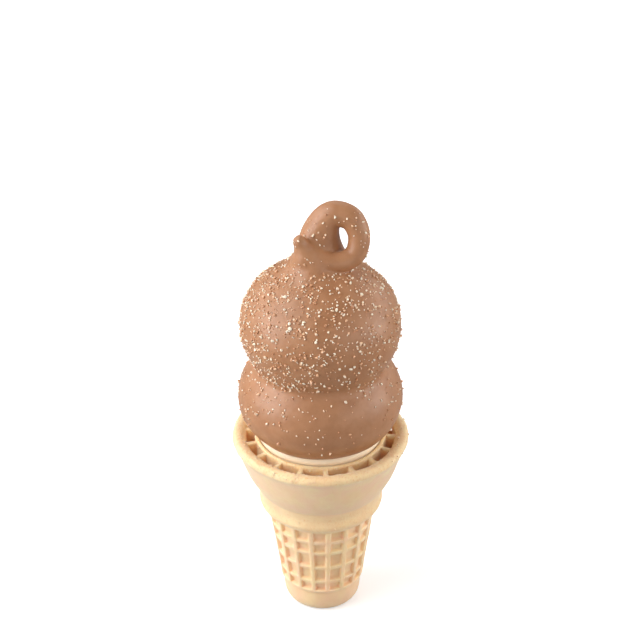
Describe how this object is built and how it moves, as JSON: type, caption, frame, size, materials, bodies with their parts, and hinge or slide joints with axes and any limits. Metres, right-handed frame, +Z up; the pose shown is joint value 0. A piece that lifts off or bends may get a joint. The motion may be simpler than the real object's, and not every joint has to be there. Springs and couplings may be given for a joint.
{
  "type": "dipped ice cream cone",
  "caption": "Flat-footed wafer cup with waffle pattern and inner ring of fins, piled with soft serve in two rounds under a brown dip coating that ends in a curl.",
  "frame": {"origin": "on the floor under the middle of the cup's rim", "axes": "+Z up from the cup's foot to the curl, +Y away from the viewer, the curl's loop on the +X side"},
  "size_m": [0.0686, 0.0686, 0.1756],
  "materials": {
    "wafer": "matt baked wafer, finely pitted",
    "soft_serve": "smooth cream",
    "dip_coating": "matt milk-chocolate-coloured coating with sugar grains"
  },
  "bodies": {
    "root": {"wafer_cup": "wafer", "soft_serve": "soft_serve", "dip_coating": "dip_coating"}
  },
  "joints": []
}
